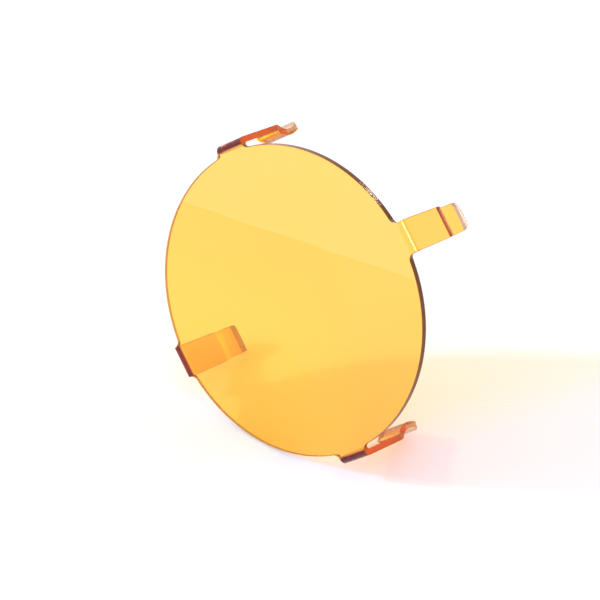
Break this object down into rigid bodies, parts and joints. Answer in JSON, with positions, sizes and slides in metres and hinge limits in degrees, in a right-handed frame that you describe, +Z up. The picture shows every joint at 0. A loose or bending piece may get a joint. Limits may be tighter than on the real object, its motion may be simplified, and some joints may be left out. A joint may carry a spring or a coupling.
{
  "type": "clip-on safelight filter",
  "caption": "Clip-on amber safelight filter: a clear acrylic disc whose heat-bent legs flex over the rim of a round lamp head and hook behind it.",
  "frame": {"origin": "on the surface it stands on, under the centre of its bounding box", "axes": "+Z up; the disc's front face looks towards -Y and leans back 17 degrees; X runs across, and the filter is mirror-symmetric about X = 0"},
  "size_m": [0.15, 0.0834, 0.1442],
  "materials": {
    "amber_acrylic": "polished"
  },
  "bodies": {
    "disc": {"filter_disc": "amber_acrylic", "root_upper_right": "amber_acrylic", "root_lower_right": "amber_acrylic", "root_lower_left": "amber_acrylic", "root_upper_left": "amber_acrylic"},
    "leg_upper_right": {"arm_upper_right": "amber_acrylic", "hook_upper_right": "amber_acrylic"},
    "leg_lower_right": {"arm_lower_right": "amber_acrylic", "hook_lower_right": "amber_acrylic"},
    "leg_lower_left": {"arm_lower_left": "amber_acrylic", "hook_lower_left": "amber_acrylic"},
    "leg_upper_left": {"arm_upper_left": "amber_acrylic", "hook_upper_left": "amber_acrylic"}
  },
  "joints": [
    {"name": "flex_upper_right", "type": "hinge", "parent": "disc", "child": "leg_upper_right", "pos_m": [0.05256, 0.00307, 0.12639], "axis": [0.742, -0.1966, -0.641], "range_deg": [-2, 7], "stiffness_Nm_per_rad": 6.8},
    {"name": "flex_lower_right", "type": "hinge", "parent": "disc", "child": "leg_lower_right", "pos_m": [0.05256, -0.03104, 0.01517], "axis": [-0.742, -0.1966, -0.641], "range_deg": [-2, 7], "stiffness_Nm_per_rad": 6.8},
    {"name": "flex_lower_left", "type": "hinge", "parent": "disc", "child": "leg_lower_left", "pos_m": [-0.05256, -0.03104, 0.01517], "axis": [-0.742, 0.1966, 0.641], "range_deg": [-2, 7], "stiffness_Nm_per_rad": 6.8},
    {"name": "flex_upper_left", "type": "hinge", "parent": "disc", "child": "leg_upper_left", "pos_m": [-0.05256, 0.00307, 0.12639], "axis": [0.742, 0.1966, 0.641], "range_deg": [-2, 7], "stiffness_Nm_per_rad": 6.8}
  ]
}
